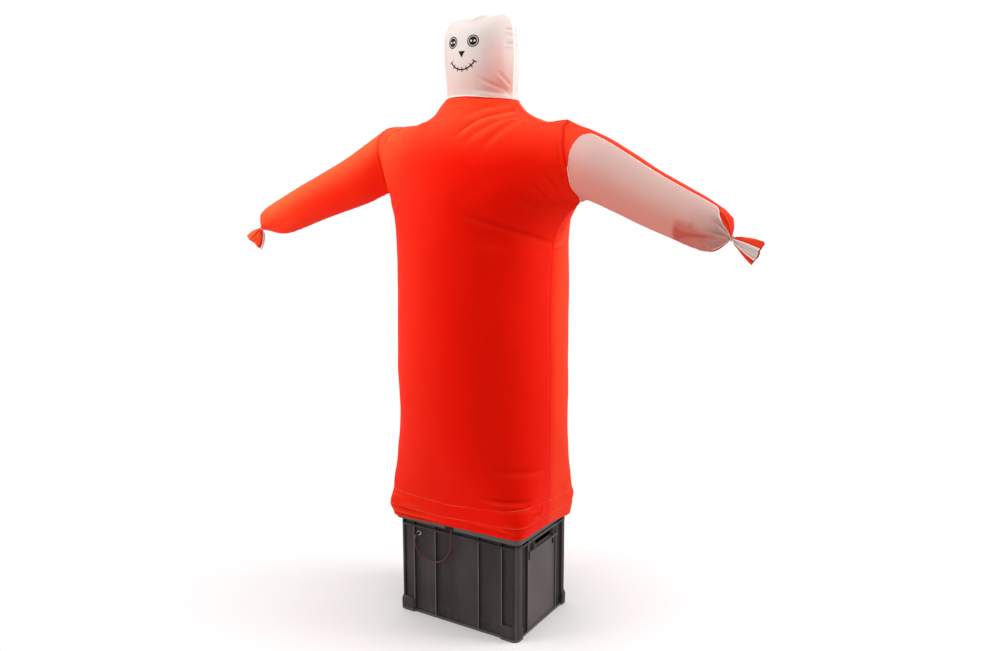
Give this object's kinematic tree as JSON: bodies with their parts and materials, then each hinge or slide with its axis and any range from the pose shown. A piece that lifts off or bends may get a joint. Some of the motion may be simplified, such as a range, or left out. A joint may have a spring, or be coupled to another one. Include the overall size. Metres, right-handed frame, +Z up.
{
  "type": "inflatable scarecrow on a stacking crate",
  "caption": "Air-filled cloth scarecrow with outstretched tied-off sleeves and a printed head, its stitched hem fitted over the rim of a ribbed plastic stacking crate.",
  "frame": {"origin": "middle of the crate's underside, which stands on the ground", "axes": "+Z up; the printed face and the crate's long side with the socket look towards -Y; +X is the arm with the white front"},
  "size_m": [1.542, 0.4638, 1.606],
  "materials": {
    "cloth_red": "thin coated ripstop cloth, satin",
    "cloth_white": "thin coated ripstop cloth, satin, slightly sheer",
    "tie_string": "thin twisted string",
    "crate_plastic": "moulded polypropylene, fine grain",
    "socket_metal": "turned and plated",
    "lead_red": "smooth insulated wire"
  },
  "bodies": {
    "root": {"body_front": "cloth_red", "body_back": "cloth_red", "head_front": "cloth_white", "head_back": "cloth_white", "sleeve_right_front": "cloth_white", "sleeve_right_back": "cloth_red", "sleeve_left_front": "cloth_red", "sleeve_left_back": "cloth_white", "tie_right": "tie_string", "tie_left": "tie_string", "crate": "crate_plastic", "socket": "socket_metal", "lead_boot": "lead_red", "lead": "lead_red"}
  },
  "joints": []
}
